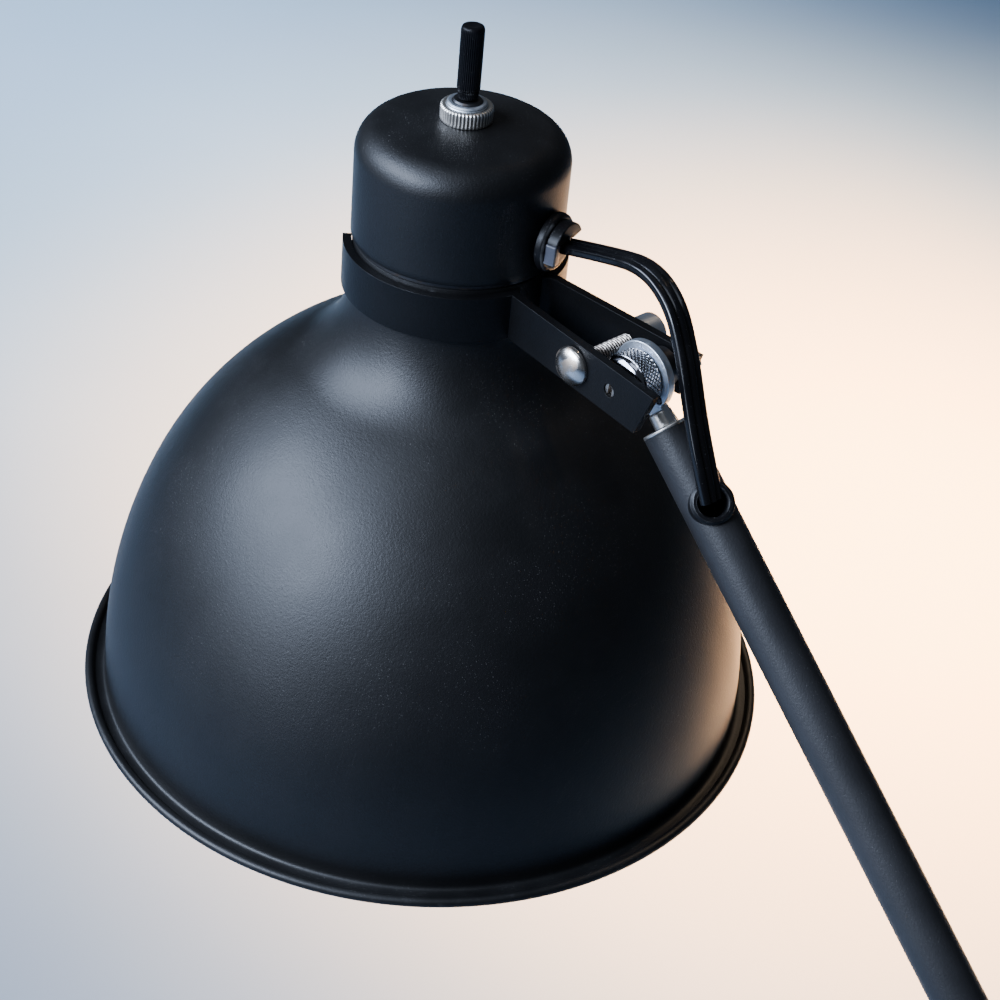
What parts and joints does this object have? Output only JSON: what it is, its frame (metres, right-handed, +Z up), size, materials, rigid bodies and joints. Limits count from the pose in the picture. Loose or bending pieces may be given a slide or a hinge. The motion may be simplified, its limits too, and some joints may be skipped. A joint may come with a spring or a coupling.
{
  "type": "architect desk lamp",
  "caption": "Black jointed desk lamp: bell shade on a clamped yoke, two tube arms with friction joints, looped flat cord and a weighted round base.",
  "frame": {"origin": "centre of the underside of the base", "axes": "+Z up; the arms move in the XZ plane and the shade hangs on the -X side of the base"},
  "size_m": [0.4658, 0.2224, 0.6409],
  "materials": {
    "black_enamel": "satin",
    "black_plastic": "satin",
    "knob_plastic": "satin",
    "socket_plastic": "gloss",
    "nickel": "polished",
    "zinc": "satin",
    "steel": "satin",
    "dark_chrome": "polished",
    "black_metal": "satin",
    "brass": "polished",
    "bulb_cap": "satin",
    "glass": "polished",
    "fibre": "matte",
    "iron": "matte",
    "rubber_pad": "matte",
    "cord_jacket": "gloss"
  },
  "bodies": {
    "base": {"base_cover": "black_enamel", "base_weight": "iron", "base_plate": "zinc", "base_pad": "rubber_pad", "base_screws": "steel", "base_gland": "black_plastic", "swivel_bushing": "zinc"},
    "turret": {"turret": "black_enamel", "shoulder_fork": "steel", "swivel_nut": "zinc", "turret_grommet": "black_plastic", "shoulder_axle": "nickel", "shoulder_washers": "fibre", "shoulder_cord": "cord_jacket"},
    "shoulder_nut": {"shoulder_nut": "dark_chrome"},
    "lower_arm": {"lower_tube": "black_enamel", "elbow_fork": "steel", "lower_base_plug": "nickel", "shoulder_pivot_plate": "zinc", "lower_elbow_grommet": "black_plastic", "lower_base_grommet": "black_plastic", "lower_arm_lead": "cord_jacket", "elbow_axle": "nickel", "elbow_washers": "fibre", "elbow_cord": "cord_jacket"},
    "elbow_nut": {"elbow_nut": "dark_chrome"},
    "upper_arm": {"upper_tube": "black_enamel", "head_pivot_plate": "zinc", "plate_stop_pin": "steel", "upper_head_plug": "nickel", "upper_elbow_plug": "nickel", "elbow_pivot_plate": "zinc", "upper_head_grommet": "black_plastic", "upper_elbow_grommet": "black_plastic", "upper_arm_lead": "cord_jacket", "head_cord": "cord_jacket"},
    "head": {"shade": "black_enamel", "socket_cap": "black_enamel", "cap_strain_relief": "black_plastic", "socket_carrier": "zinc", "lamp_socket": "socket_plastic", "shade_ring": "socket_plastic", "socket_contacts": "brass", "bulb_base": "bulb_cap", "bulb_glass": "glass", "switch_body": "socket_plastic", "switch_bushing": "zinc", "switch_ring_nut": "nickel", "switch_inner_bush": "black_metal", "yoke_front": "black_enamel", "yoke_rear": "black_enamel", "clamp_bolt": "nickel", "clamp_nut": "zinc", "tilt_axle": "steel", "tilt_washer": "zinc", "tilt_locknut": "zinc", "tilt_spacers": "fibre"},
    "switch_knob": {"switch_knob": "knob_plastic"},
    "tilt_nut": {"tilt_nut": "dark_chrome"}
  },
  "joints": [
    {"name": "base_swivel", "type": "hinge", "parent": "base", "child": "turret", "pos_m": [0, 0, 0.03], "axis": [0, 0, 1], "range_deg": [-170, 170]},
    {"name": "shoulder", "type": "hinge", "parent": "turret", "child": "lower_arm", "pos_m": [0, 0, 0.0663], "axis": [0, 1, 0], "range_deg": [-30, 45], "deforming": ["shoulder_cord"]},
    {"name": "elbow", "type": "hinge", "parent": "lower_arm", "child": "upper_arm", "pos_m": [0.11238, 0, 0.34446], "axis": [0, 1, 0], "range_deg": [-30, 75], "deforming": ["elbow_cord"]},
    {"name": "head_tilt", "type": "hinge", "parent": "upper_arm", "child": "head", "pos_m": [-0.14383, 0, 0.56797], "axis": [0, 1, 0], "range_deg": [-25, 65], "deforming": ["head_cord"]},
    {"name": "switch_turn", "type": "hinge", "parent": "head", "child": "switch_knob", "pos_m": [-0.21833, -0.003, 0.61587], "axis": [0, 0, 1], "continuous": true},
    {"name": "tilt_nut_turn", "type": "hinge", "parent": "head", "child": "tilt_nut", "pos_m": [-0.14383, 0, 0.56797], "axis": [0, 1, 0], "continuous": true},
    {"name": "elbow_nut_turn", "type": "hinge", "parent": "lower_arm", "child": "elbow_nut", "pos_m": [0.11238, 0, 0.34446], "axis": [0, 1, 0], "continuous": true},
    {"name": "shoulder_nut_turn", "type": "hinge", "parent": "turret", "child": "shoulder_nut", "pos_m": [0, 0, 0.0663], "axis": [0, 1, 0], "continuous": true}
  ]
}
